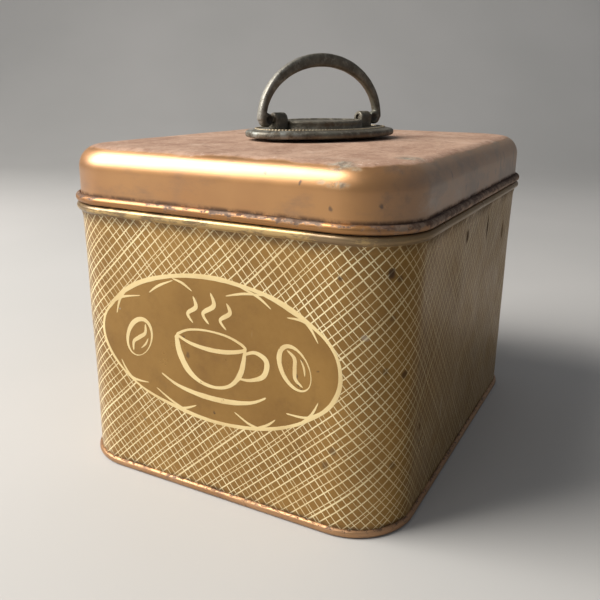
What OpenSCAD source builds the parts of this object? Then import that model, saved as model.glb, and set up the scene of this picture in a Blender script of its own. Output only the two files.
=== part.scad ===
// Slip-lid coffee tin: rounded rectangular tinplate body, flush slip lid and
// a swinging bail handle on an oval plate.
// Origin: centre of the base rim, on the surface the tin stands on. +Z is up,
// the label face looks along -Y and the long sides run along Y.

/* [Tin] */
// Width of the label face, over the plain wall
tin_w = 130; // [120:1:140]
// Depth of the tin, front wall to back wall
tin_d = 164; // [150:1:180]
// Height of the wall, up to the top of its stop bead
wall_h = 99.6; // [85:0.2:120]
// Corner radius of the wall, seen from above
corner_r = 21.3; // [17:0.1:26]
// Thickness of the tinplate sheet
sheet_t = 0.45; // [0.35:0.05:0.5]

/* [Beads and seams] */
// How far the stop bead stands out of the wall
bead_out = 1.85; // [1.4:0.05:2.2]
// Height of the stop bead
bead_h = 2.8; // [2.4:0.1:3.2]
// Height of the base rim
rim_h = 2.75; // [2.4:0.05:3.2]
// How far the base rim stands out of the wall
rim_out = 1.1; // [0.8:0.05:1.4]
// Width of the folded side seam inside the back wall
seam_w = 5; // [4:0.5:8]

/* [Neck] */
// Height of the neck collar above the stop bead
neck_h = 9.9; // [8:0.1:10]
// Radius of the curled edge of the neck
neck_curl_r = 1; // [0.9:0.05:1.2]

/* [Lid] */
// Gap between the stop bead and the lid bead
lid_gap = 0.3; // [0.25:0.05:0.5]
// Height of the lid, from its bead to its flat top
lid_h = 19.4; // [18.4:0.1:24]
// Radius of the rounded edge round the lid's top
lid_edge_r = 8; // [6:0.1:8.4]
// How far the lid bead stands out of the wall line
lid_bead_out = 2; // [1.6:0.05:2.3]
// Height of the lid's curled bead
lid_bead_h = 2.8; // [2.5:0.1:3.1]

/* [Handle] */
// Turn of the handle's length from the tin's width, degrees
handle_turn = 65; // [0:1:90]
// Offset of the handle from the lid's middle, along X
handle_x = -0.7; // [-3:0.1:3]
// Half length of the oval plate
plate_a = 34; // [33:0.5:36]
// Half width of the oval plate
plate_b = 21; // [20:0.5:23]
// Outside half span of the bail
bail_a = 31; // [30.6:0.1:31.4]
// Rise of the bail above its pins
bail_rise = 24.8; // [23:0.2:30]
// Thickness of the bail at its ends
bail_t_end = 3.1; // [2.8:0.1:3.3]
// Thickness of the bail at the top of its arch
bail_t_top = 5.2; // [4:0.1:6]
// Width of the bail, across its arch
bail_w = 3.8; // [3.2:0.1:4.2]
// Radius of the bail's pins
pin_r = 1.3; // [1.2:0.05:1.5]

/* [Hidden] */

fn_arc = 72;
ha = tin_w / 2;
hb = tin_d / 2;

// heights that follow from the sizes above
lid_z0 = wall_h + lid_gap;
lid_z1 = lid_z0 + lid_h;
plate_z0 = lid_z1 + 1.2;
plate_z1 = plate_z0 + 3.0;
mid_z1 = plate_z1 + 3.1;
pin_z = plate_z1 + 3.5;
post_top_r = 2.7;
post_x0 = 18.9;
post_x1 = 24.5;
post_xm = (post_x0 + post_x1) / 2;
stud_r = 1.9;
stud_z0 = lid_z1 - 4.9;
fit = 0.05;
neck_off = -0.65;
neck_z0 = wall_h - 11;
neck_z1 = wall_h + neck_h;
rim_in = 0.5;
panel_z = 2.1;
boss_x = bail_a - 3.1;
boss_r = 2.75;

// points on an ellipse arc in the (offset, height) plane
function arc(cx, cz, rx, rz, a0, a1, n) =
    [for (i = [0:n]) let (a = a0 + (a1 - a0) * i / n)
        [cx + rx * cos(a), cz + rz * sin(a)]];

// smooth rise from 0 to 1
function ease(t) = (1 - cos(180 * t)) / 2;

// rounded rectangle, grown outwards by off
module rrect(off) {
    r = corner_r + off;
    square([2 * (ha + off), 2 * (hb - corner_r)], center = true);
    square([2 * (ha - corner_r), 2 * (hb + off)], center = true);
    for (sx = [-1, 1], sy = [-1, 1])
        translate([sx * (ha - corner_r), sy * (hb - corner_r)])
            circle(r = r, $fn = fn_arc);
}

// one straight run of a profile, on the face that looks along +X
module run(dist, len, pts) {
    rotate([90, 0, 0])
        translate([0, 0, -len / 2])
            linear_extrude(height = len)
                polygon([for (p = pts) [dist + p[0], p[1]]]);
}

// a profile of [offset from the wall line, height] led round the tin
module around(pts) {
    for (i = [0, 1]) {
        rotate([0, 0, 180 * i]) run(ha, 2 * (hb - corner_r), pts);
        rotate([0, 0, 90 + 180 * i]) run(hb, 2 * (ha - corner_r), pts);
    }
    for (c = [[1, 1, 0], [-1, 1, 90], [-1, -1, 180], [1, -1, 270]])
        translate([c[0] * (ha - corner_r), c[1] * (hb - corner_r), 0])
            rotate([0, 0, c[2]])
                rotate_extrude(angle = 90, $fn = fn_arc)
                    polygon([for (p = pts) [corner_r + p[0], p[1]]]);
}

// ---------- body ----------

// outer line of the wall: straight, then a soft flare into the stop bead
bead_cx = 0.4;
bead_cz = wall_h - bead_h / 2;
flare_z0 = wall_h - 6;
bead_rx = bead_out - bead_cx;
bead_rz = bead_h / 2;
wall_out = concat(
    [[0, rim_in], [0, flare_z0]],
    [for (i = [1:6]) let (t = i / 6)
        [0.45 * ease(t), flare_z0 + (wall_h - bead_h - 0.1 - flare_z0) * t]],
    arc(bead_cx, bead_cz, bead_rx, bead_rz, -68, 90, 14));
wall_in = concat(
    arc(bead_cx, bead_cz, bead_rx - sheet_t, bead_rz - sheet_t, 90, -60, 12),
    [for (i = [6:-1:1]) let (t = i / 6)
        [0.45 * ease(t) - sheet_t, flare_z0 + (wall_h - bead_h - 0.3 - flare_z0) * t]],
    [[-sheet_t, flare_z0], [-sheet_t, rim_in]]);
wall_lip = [[neck_off + 0.02, wall_h], [neck_off + 0.02, wall_h - sheet_t]];

module body_wall() color([0.62, 0.47, 0.25]) {
    difference() {
        union() {
            around(concat(wall_out, wall_lip, wall_in));
            // folded lock seam, inside the middle of the back wall
            translate([-seam_w / 2, hb - sheet_t - 0.7, rim_h + 1])
                cube([seam_w, 0.7 + sheet_t / 2, neck_z0 - rim_h - 2]);
        }
        // fine groove that the seam leaves on the outside
        translate([seam_w / 2 - 0.35, hb - 0.15, rim_h + 1])
            cube([0.35, 1, neck_z0 - rim_h - 2]);
    }
}

module base_panel() color([0.72, 0.47, 0.24]) {
    around(concat(
        [[0, rim_h], [0, rim_in], [-sheet_t, rim_in], [-sheet_t, rim_h - 0.2],
         [-sheet_t - 0.45, rim_h - 0.2], [-sheet_t - 0.45, panel_z + sheet_t],
         [-9, panel_z + sheet_t], [-10.5, panel_z + sheet_t + 0.8],
         [-11.5, panel_z + sheet_t + 0.8], [-11.5, panel_z + 0.8],
         [-10.5, panel_z + 0.8], [-9, panel_z], [-1.3, panel_z], [-1.3, 0.3],
         [-1, 0], [0.3, 0]],
        arc(0, rim_h / 2, rim_out, rim_h / 2, -72, 78, 12)));
    translate([0, 0, panel_z + 0.8])
        linear_extrude(height = sheet_t) rrect(-11.5);
}

module neck_collar() color([0.75, 0.70, 0.58]) {
    r = neck_curl_r;
    cx = neck_off - r;
    cz = neck_z1 - r;
    around(concat(
        [[-sheet_t, neck_z0], [-sheet_t, wall_h - 5]],
        [for (i = [1:4]) [-sheet_t + (neck_off + sheet_t) * ease(i / 4), wall_h - 5 + i]],
        [[neck_off, cz]],
        arc(cx, cz, r, r, 15, 300, 18),
        arc(cx, cz, r - sheet_t, r - sheet_t, 300, 15, 16),
        [[neck_off - sheet_t, cz]],
        [for (i = [4:-1:1]) [-2 * sheet_t + (neck_off + sheet_t) * ease(i / 4), wall_h - 5 + i]],
        [[-2 * sheet_t, wall_h - 5], [-2 * sheet_t, neck_z0]]));
}

// ---------- lid ----------

skirt = 0.1;
lb_rx = (lid_bead_out - skirt + sheet_t) / 2;
lb_cx = lid_bead_out - lb_rx;
lb_cz = lid_z0 + lid_bead_h / 2;

module stud_holes(r) {
    place_handle()
        for (s = [-1, 1])
            translate([s * post_xm, 0, lid_z1 - 5])
                cylinder(r = r, h = 10, $fn = 48);
}

module lid_shell() color([0.72, 0.45, 0.22]) {
    er = lid_edge_r;
    difference() {
        union() {
            around(concat(
                // curl: out of the skirt, down, round and back up
                [[skirt, lb_cz + 0.62 * lid_bead_h / 2]],
                arc(lb_cx, lb_cz, lb_rx, lid_bead_h / 2, 108, -180, 26),
                [[skirt - sheet_t, lid_z1 - er]],
                arc(skirt - er, lid_z1 - er, er - sheet_t, er - sheet_t, 0, 90, 10),
                arc(skirt - er, lid_z1 - er, er, er, 90, 0, 12)));
            translate([0, 0, lid_z1 - sheet_t])
                linear_extrude(height = sheet_t) rrect(skirt - er);
        }
        stud_holes(stud_r + 0.2);
    }
}

// ---------- handle ----------

module place_handle() {
    translate([handle_x, 0, 0]) rotate([0, 0, handle_turn]) children();
}

// four-arc oval: half length a, half width b, end arcs centred c from the middle
function oval_e(a, b, c) = (c * c - pow(b - a + c, 2)) / (2 * (b - a + c));

// outline of that oval, grown outwards by off
function oval_pts(a, b, c, off, n) =
    let (e = oval_e(a, b, c), al = atan2(e, c), rs = a - c + off, rl = b + e + off)
    concat(
        [for (i = [0:n]) let (t = -al + 2 * al * i / n) [c + rs * cos(t), rs * sin(t)]],
        [for (i = [1:n - 1]) let (t = al + (180 - 2 * al) * i / n) [rl * cos(t), -e + rl * sin(t)]],
        [for (i = [0:n]) let (t = 180 - al + 2 * al * i / n) [-c + rs * cos(t), rs * sin(t)]],
        [for (i = [1:n - 1]) let (t = 180 + al + (180 - 2 * al) * i / n) [rl * cos(t), e + rl * sin(t)]]);

module oval(a, b, c, off) {
    polygon(oval_pts(a, b, c, off, 16));
}

// one flat layer of an oval, from height z0 to z1
module layer(a, b, c, off, z0, z1) {
    translate([0, 0, z0]) linear_extrude(height = z1 - z0) oval(a, b, c, off);
}

mid_a = 18.6;
mid_b = 13;
plate_c = plate_a - 15;
mid_c = mid_a - 9;

module plate_layer(off, z0, z1) { layer(plate_a, plate_b, plate_c, off, z0, z1); }
module mid_layer(off, z0, z1) { layer(mid_a, mid_b, mid_c, off, z0, z1); }

module handle_plate() color([0.30, 0.29, 0.25]) {
    z0 = plate_z0;
    z1 = plate_z1;
    place_handle() difference() {
        union() {
            // turned-down rim, rounded in steps, hollow under the flange
            plate_layer(-0.35, z0, z0 + 0.5);
            plate_layer(0, z0 + 0.5, z0 + 2.1);
            plate_layer(-0.3, z0 + 2.1, z0 + 2.6);
            plate_layer(-1.2, z0 + 2.6, z0 + 2.85);
            plate_layer(-2.8, z0 + 2.85, z1);
            // milled ring
            difference() {
                plate_layer(-3.6, z1 - 0.1, z1 + 0.35);
                plate_layer(-4.4, z1 - 0.5, z1 + 1);
            }
            // raised middle with a shallow dish
            mid_layer(0, z1 - 0.1, mid_z1 - 0.5);
            mid_layer(-0.35, mid_z1 - 0.5, mid_z1);
        }
        plate_layer(-1.6, z0 - 1, z0 + 1.7);
        mid_layer(-2, mid_z1 - 0.6, mid_z1 + 1);
        for (s = [-1, 1])
            translate([s * post_xm, 0, z0 - 1])
                cylinder(r = stud_r + 0.2, h = 6, $fn = 48);
    }
}

module plate_spacers() color([0.35, 0.33, 0.28]) {
    place_handle() for (s = [-1, 1])
        translate([s * post_xm, 0, lid_z1]) difference() {
            cylinder(r = 4, h = plate_z0 + 1.7 - lid_z1, $fn = 48);
            translate([0, 0, -1]) cylinder(r = stud_r + 0.2, h = 9, $fn = 48);
        }
}

// round-topped lug with a pin hole along the handle, and a threaded stud below
module post() {
    w = 2 * post_top_r;
    difference() {
        union() {
            translate([post_x0, -w / 2, plate_z1])
                cube([post_x1 - post_x0, w, pin_z - plate_z1]);
            translate([post_x0, 0, pin_z]) rotate([0, 90, 0])
                cylinder(r = post_top_r, h = post_x1 - post_x0, $fn = 48);
            translate([post_xm, 0, stud_z0])
                cylinder(r = stud_r, h = plate_z1 - stud_z0 + 0.5, $fn = 48);
        }
        translate([post_x0 - 1, 0, pin_z]) rotate([0, 90, 0])
            cylinder(r = pin_r + fit, h = post_x1 - post_x0 + 2, $fn = 48);
    }
}

module left_post() color([0.36, 0.34, 0.29])
    place_handle() rotate([0, 0, 180]) post();

module right_post() color([0.36, 0.34, 0.29])
    place_handle() post();

// arch with elliptical outer and inner lines, rounded bosses and two pins
module bail() color([0.28, 0.27, 0.24]) {
    ai = bail_a - bail_t_end;
    bi = bail_rise - bail_t_top;
    place_handle() translate([0, 0, pin_z]) {
        translate([0, bail_w / 2, 0]) rotate([90, 0, 0])
            linear_extrude(height = bail_w)
                polygon(concat(
                    arc(0, 0, bail_a, bail_rise, 0, 180, 60),
                    arc(0, 0, ai, bi, 180, 0, 60)));
        for (s = [-1, 1]) {
            intersection() {
                translate([s * boss_x, 0, 0]) rotate([90, 0, 0])
                    cylinder(r = 3.05, h = bail_w, center = true, $fn = 64);
                translate([s * boss_x, 0, 0]) rotate([0, 90, 0])
                    cylinder(r = boss_r, h = 8, center = true, $fn = 64);
            }
            translate([s * (post_x0 + boss_x) / 2 + s * 0.35, 0, 0]) rotate([0, 90, 0])
                cylinder(r = pin_r, h = boss_x - post_x0 - 0.7, center = true, $fn = 48);
        }
    }
}

module lid_washers() color([0.62, 0.60, 0.56]) {
    place_handle() for (s = [-1, 1])
        translate([s * post_xm, 0, lid_z1 - sheet_t - 0.9]) difference() {
            cylinder(r = 4.5, h = 0.9, $fn = 48);
            translate([0, 0, -1]) cylinder(r = stud_r + 0.2, h = 3, $fn = 48);
        }
}

module lid_nuts() color([0.62, 0.52, 0.33]) {
    place_handle() for (s = [-1, 1])
        translate([s * post_xm, 0, lid_z1 - sheet_t - 0.9 - 3]) difference() {
            cylinder(r = 4.05, h = 3, $fn = 6);
            translate([0, 0, -1]) cylinder(r = stud_r + fit, h = 5, $fn = 48);
        }
}

body_wall();
base_panel();
neck_collar();
lid_shell();
handle_plate();
plate_spacers();
left_post();
right_post();
bail();
lid_washers();
lid_nuts();
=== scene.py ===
import bpy, math, random
import numpy as np
from mathutils import Vector, Matrix, noise


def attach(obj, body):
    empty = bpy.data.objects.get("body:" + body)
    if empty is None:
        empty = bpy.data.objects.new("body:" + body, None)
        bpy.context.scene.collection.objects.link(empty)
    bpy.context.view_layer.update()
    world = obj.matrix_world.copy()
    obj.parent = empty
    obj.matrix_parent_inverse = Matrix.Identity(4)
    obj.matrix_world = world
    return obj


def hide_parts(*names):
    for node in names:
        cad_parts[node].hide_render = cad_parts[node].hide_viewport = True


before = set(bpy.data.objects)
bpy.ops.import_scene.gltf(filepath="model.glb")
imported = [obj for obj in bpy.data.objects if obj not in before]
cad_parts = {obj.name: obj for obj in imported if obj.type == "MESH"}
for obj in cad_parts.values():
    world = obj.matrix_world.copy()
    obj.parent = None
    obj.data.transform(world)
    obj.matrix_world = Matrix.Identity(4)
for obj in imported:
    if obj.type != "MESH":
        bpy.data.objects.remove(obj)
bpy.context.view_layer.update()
MM = 0.001
random.seed(7)

# ---------------------------------------------------------------- sizes, in mm, as the CAD has them
HA, HB, CR = 65.0, 82.0, 21.3
SHEET = 0.45
WALL_H = 99.6
LID_Z0, LID_Z1, LID_R = 99.9, 119.3, 8.0
PLATE_Z0, PLATE_Z1, MID_Z1, PIN_Z = 120.5, 123.5, 126.6, 127.0
HX = -0.7
TURN = math.radians(65)
PER_X = 2 * (HA - CR)
PER_Y = 2 * (HB - CR)
ARC = math.pi / 2 * CR
S_TOTAL = 2 * PER_X + 2 * PER_Y + 4 * ARC


# ---------------------------------------------------------------- helpers: paths and meshes
def path_at(s):
    """Point on the wall line and its outward normal. s runs along the wall in mm, 0 at the middle of the front face, rising with +X."""
    s = (s + S_TOTAL) % S_TOTAL
    segs = [("l", PER_X / 2), ("c", ARC, 0), ("y", PER_Y), ("c", ARC, 1), ("b", PER_X), ("c", ARC, 2), ("w", PER_Y), ("c", ARC, 3), ("f", PER_X / 2)]
    centres = [(HA - CR, -(HB - CR), -90), (HA - CR, HB - CR, 0), (-(HA - CR), HB - CR, 90), (-(HA - CR), -(HB - CR), 180)]
    for g in segs:
        if s <= g[1] + 1e-9:
            if g[0] == "l":
                return s, -HB, 0.0, -1.0
            if g[0] == "c":
                cx, cy, a0 = centres[g[2]]
                a = math.radians(a0) + s / CR
                nx, ny = math.cos(a), math.sin(a)
                return cx + CR * nx, cy + CR * ny, nx, ny
            if g[0] == "y":
                return HA, -(HB - CR) + s, 1.0, 0.0
            if g[0] == "b":
                return (HA - CR) - s, HB, 0.0, 1.0
            if g[0] == "w":
                return -HA, (HB - CR) - s, -1.0, 0.0
            return -(HA - CR) + s, -HB, 0.0, -1.0
        s -= g[1]
    return 0.0, -HB, 0.0, -1.0


def path_samples(straight=2.2, corner=26):
    """s values round the wall, from the back seam to the back seam."""
    out = []
    kinds = [("s", PER_X / 2), ("c", ARC), ("s", PER_Y), ("c", ARC), ("s", PER_X), ("c", ARC), ("s", PER_Y), ("c", ARC), ("s", PER_X / 2)]
    s = -S_TOTAL / 2
    for k, length in kinds:
        n = corner if k == "c" else max(2, int(round(length / straight)))
        out += [s + length * i / n for i in range(n)]
        s += length
    return out


def fbm(x, y, z, scale, seed=0.0, octaves=3):
    v = Vector((x / scale + seed, y / scale - seed * 1.7, z / scale + seed * 0.6))
    return noise.fractal(v, 0.9, 2.0, octaves)


def make_mesh(name, verts, faces, smooth_angle=35, attr=None):
    me = bpy.data.meshes.new(name)
    me.from_pydata([tuple(v) for v in verts], [], faces)
    me.validate()
    if attr is not None:
        a = me.attributes.new("pat", "FLOAT_VECTOR", "CORNER")
        a.data.foreach_set("vector", np.asarray(attr, dtype=np.float32).ravel())
    me.update()
    ob = bpy.data.objects.new(name, me)
    bpy.context.scene.collection.objects.link(ob)
    shade(ob, smooth_angle)
    return ob


def shade(ob, angle=35):
    me = ob.data
    me.polygons.foreach_set("use_smooth", [True] * len(me.polygons))
    if hasattr(me, "set_sharp_from_angle"):
        me.set_sharp_from_angle(angle=math.radians(angle))
    me.update()


def fix_normals(ob):
    import bmesh
    bm = bmesh.new()
    bm.from_mesh(ob.data)
    bmesh.ops.recalc_face_normals(bm, faces=bm.faces)
    bm.to_mesh(ob.data)
    bm.free()
    ob.data.update()


def sweep_tin(name, profile, disp=None, straight=2.2, corner=26, angle=35):
    """Closed profile [(offset, z)] in mm, led round the wall line."""
    ss = path_samples(straight, corner)
    n, m = len(ss), len(profile)
    verts = []
    frames = [path_at(s) for s in ss]
    for (px, py, nx, ny), s in zip(frames, ss):
        for o, z in profile:
            d = disp(px, py, z, s, o) if disp else 0.0
            verts.append(((px + (o + d) * nx) * MM, (py + (o + d) * ny) * MM, z * MM))
    faces, attr = [], []
    ends = ss + [S_TOTAL / 2]
    for i in range(n):
        j = (i + 1) % n
        for k in range(m):
            l = (k + 1) % m
            faces.append((i * m + k, j * m + k, j * m + l, i * m + l))
            zk, zl = profile[k][1], profile[l][1]
            ok, ol = profile[k][0], profile[l][0]
            attr += [(ends[i], zk, ok), (ends[i + 1], zk, ok), (ends[i + 1], zl, ol), (ends[i], zl, ol)]
    ob = make_mesh(name, verts, faces, angle, attr)
    return ob


def arc_pts(cx, cz, rx, rz, a0, a1, n):
    return [(cx + rx * math.cos(math.radians(a0 + (a1 - a0) * i / n)), cz + rz * math.sin(math.radians(a0 + (a1 - a0) * i / n))) for i in range(n + 1)]


def ease(t):
    return (1 - math.cos(math.pi * t)) / 2


def lin(a, b, n):
    return [(a[0] + (b[0] - a[0]) * i / n, a[1] + (b[1] - a[1]) * i / n) for i in range(n)]


# ---------------------------------------------------------------- helpers: materials
class NT:
    def __init__(self, name):
        self.mat = bpy.data.materials.new(name)
        self.mat.use_nodes = True
        self.nt = self.mat.node_tree
        self.nt.nodes.clear()
        self.out = self.nt.nodes.new("ShaderNodeOutputMaterial")
        self.bsdf = self.nt.nodes.new("ShaderNodeBsdfPrincipled")
        self.nt.links.new(self.bsdf.outputs[0], self.out.inputs[0])

    def put(self, sock, v):
        if isinstance(v, bpy.types.NodeSocket):
            self.nt.links.new(v, sock)
        elif isinstance(v, (tuple, list)) and len(v) == 3 and sock.type == "RGBA":
            sock.default_value = (*v, 1.0)
        else:
            sock.default_value = v

    def m(self, op, a, b=None, c=None, clamp=False):
        n = self.nt.nodes.new("ShaderNodeMath")
        n.operation = op
        n.use_clamp = clamp
        self.put(n.inputs[0], a)
        if b is not None:
            self.put(n.inputs[1], b)
        if c is not None:
            self.put(n.inputs[2], c)
        return n.outputs[0]

    def step(self, v, lo, hi, to0=0.0, to1=1.0, smooth=True):
        n = self.nt.nodes.new("ShaderNodeMapRange")
        n.interpolation_type = "SMOOTHSTEP" if smooth else "LINEAR"
        self.put(n.inputs["Value"], v)
        n.inputs["From Min"].default_value = lo
        n.inputs["From Max"].default_value = hi
        n.inputs["To Min"].default_value = to0
        n.inputs["To Max"].default_value = to1
        return n.outputs[0]

    def mix(self, f, a, b, mode="MIX"):
        n = self.nt.nodes.new("ShaderNodeMix")
        n.data_type = "RGBA"
        n.blend_type = mode
        self.put(n.inputs[0], f)
        self.put(n.inputs[6], a)
        self.put(n.inputs[7], b)
        return n.outputs[2]

    def noise(self, vec, scale, detail=4.0, rough=0.55, dist=0.0):
        n = self.nt.nodes.new("ShaderNodeTexNoise")
        n.inputs["Scale"].default_value = scale
        n.inputs["Detail"].default_value = detail
        n.inputs["Roughness"].default_value = rough
        n.inputs["Distortion"].default_value = dist
        if vec is not None:
            self.nt.links.new(vec, n.inputs["Vector"])
        return n.outputs["Fac"]

    def voronoi(self, vec, scale, feature="F1"):
        n = self.nt.nodes.new("ShaderNodeTexVoronoi")
        n.feature = feature
        n.inputs["Scale"].default_value = scale
        if vec is not None:
            self.nt.links.new(vec, n.inputs["Vector"])
        return n

    def obj(self):
        return self.nt.nodes.new("ShaderNodeTexCoord").outputs["Object"]

    def xyz(self, vec):
        n = self.nt.nodes.new("ShaderNodeSeparateXYZ")
        self.nt.links.new(vec, n.inputs[0])
        return n.outputs[0], n.outputs[1], n.outputs[2]

    def comb(self, x, y, z):
        n = self.nt.nodes.new("ShaderNodeCombineXYZ")
        for i, v in enumerate((x, y, z)):
            self.put(n.inputs[i], v)
        return n.outputs[0]

    def mapping(self, vec, scale=(1, 1, 1), rot=(0, 0, 0), loc=(0, 0, 0)):
        n = self.nt.nodes.new("ShaderNodeMapping")
        self.nt.links.new(vec, n.inputs[0])
        n.inputs["Location"].default_value = loc
        n.inputs["Rotation"].default_value = rot
        n.inputs["Scale"].default_value = scale
        return n.outputs[0]

    def attr(self, name="pat"):
        n = self.nt.nodes.new("ShaderNodeAttribute")
        n.attribute_name = name
        return n.outputs["Vector"]

    def ramp(self, fac, stops, interp="LINEAR"):
        n = self.nt.nodes.new("ShaderNodeValToRGB")
        cr = n.color_ramp
        cr.interpolation = interp
        while len(cr.elements) > 1:
            cr.elements.remove(cr.elements[-1])
        cr.elements[0].position = stops[0][0]
        cr.elements[0].color = (*([stops[0][1]] * 3), 1)
        for p, v in stops[1:]:
            e = cr.elements.new(p)
            e.color = (v, v, v, 1)
        self.put(n.inputs[0], fac)
        return n.outputs[0]

    def bump(self, height, strength, distance):
        n = self.nt.nodes.new("ShaderNodeBump")
        n.inputs["Strength"].default_value = strength
        n.inputs["Distance"].default_value = distance
        self.put(n.inputs["Height"], height)
        self.nt.links.new(n.outputs[0], self.bsdf.inputs["Normal"])

    def set(self, **kw):
        for k, v in kw.items():
            self.put(self.bsdf.inputs[k.replace("_", " ")], v)


# ---------------------------------------------------------------- the label: outline and brush strokes, in (s, z) mm
LAB_Z = 54.7
OUTLINE = [(-47.3, 55.6), (-45.8, 60.6), (-41.7, 65.6), (-35.5, 71.2), (-28.4, 75.1), (-21.0, 77.6), (-9.0, 80.0), (3.0, 80.6), (12.0, 79.6), (21.1, 77.9), (30.5, 74.2), (36.7, 70.8), (41.5, 67.4), (45.2, 62.9),
           (46.9, 57.0), (46.4, 50.6), (43.4, 44.9), (37.6, 39.8), (30.2, 35.2), (21.0, 31.8), (9.7, 29.7), (-3.0, 29.3), (-14.1, 30.8), (-23.5, 32.8), (-31.5, 35.6), (-38.6, 40.2), (-43.6, 45.4), (-46.5, 50.6)]


def lab_polar(s, z):
    return math.atan2((z - LAB_Z) / 26.0, s / 47.0), math.hypot(s / 47.0, (z - LAB_Z) / 26.0)


_pol = sorted(lab_polar(s, z) for s, z in OUTLINE)
_th = np.array([p[0] for p in _pol])
_rr = np.array([p[1] for p in _pol])


def lab_r(th):
    th = (th + math.pi) % (2 * math.pi) - math.pi
    return float(np.interp(th, np.concatenate([_th - 2 * math.pi, _th, _th + 2 * math.pi]), np.tile(_rr, 3)))


def wall_dent(px, py, z, s, o):
    """Soft waviness of the aged sheet, none at the bead and the base seam."""
    if o > 0.3 or z > 93.5 or z < 5:
        k = 0.0
    else:
        k = min(1.0, (93.5 - z) / 12, (z - 5) / 10)
    return k * (0.30 * fbm(px, py, z, 46, 3.1, 2) + 0.05 * fbm(px, py, z, 13, 8.2, 2) - 0.10)


def on_wall(s, z, off):
    px, py, nx, ny = path_at(s)
    d = wall_dent(px, py, z, s, 0.0) + off
    return ((px + d * nx) * MM, (py + d * ny) * MM, z * MM)


def catmull(pts, step=0.45, closed=False):
    P = [np.array(p, float) for p in pts]
    n = len(P)
    out = []
    rng = range(n) if closed else range(n - 1)
    for i in rng:
        if closed:
            p0, p1, p2, p3 = P[(i - 1) % n], P[i], P[(i + 1) % n], P[(i + 2) % n]
        else:
            p0, p1, p2, p3 = P[max(i - 1, 0)], P[i], P[i + 1], P[min(i + 2, n - 1)]
        k = max(2, int(np.linalg.norm((p2 - p1)[:2]) / step))
        for j in range(k):
            t = j / k
            out.append(0.5 * ((2 * p1) + (-p0 + p2) * t + (2 * p0 - 5 * p1 + 4 * p2 - p3) * t * t + (-p0 + 3 * p1 - 3 * p2 + p3) * t ** 3))
    if not closed:
        out.append(P[-1])
    return out


class Ink:
    """Thin raised films of ink on the wall: closed ribbons that follow it."""

    def __init__(self):
        self.v, self.f = [], []

    def ribbon(self, pts, closed=False, lift=0.035):
        """pts: (s, z, width) control points."""
        c = catmull(pts, closed=closed)
        n = len(c)
        xy = [p[:2] for p in c]
        base = len(self.v)
        for i in range(n):
            a = xy[(i - 1) % n] if (closed or i > 0) else xy[i]
            b = xy[(i + 1) % n] if (closed or i < n - 1) else xy[i]
            t = b - a
            t = t / (np.linalg.norm(t) + 1e-9)
            nrm = np.array([-t[1], t[0]])
            w = max(c[i][2], 0.12) / 2
            w *= 1 + 0.10 * noise.noise(Vector((xy[i][0] * 0.35, xy[i][1] * 0.35, 4.0)))
            if not closed:
                e = min(i, n - 1 - i)
                w *= min(1.0, 0.25 + 0.4 * e)
            l, r = xy[i] + nrm * w, xy[i] - nrm * w
            for q, o in ((l, -0.02), (l, lift * 0.7), (xy[i], lift), (r, lift * 0.7), (r, -0.02)):
                self.v.append(on_wall(q[0], q[1], o))
        cnt = n if closed else n - 1
        for i in range(cnt):
            j = (i + 1) % n
            for k in range(5):
                l = (k + 1) % 5
                self.f.append((base + i * 5 + k, base + i * 5 + l, base + j * 5 + l, base + j * 5 + k))
        if not closed:
            self.f.append(tuple(base + k for k in (4, 3, 2, 1, 0)))
            self.f.append(tuple(base + (n - 1) * 5 + k for k in (0, 1, 2, 3, 4)))


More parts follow.
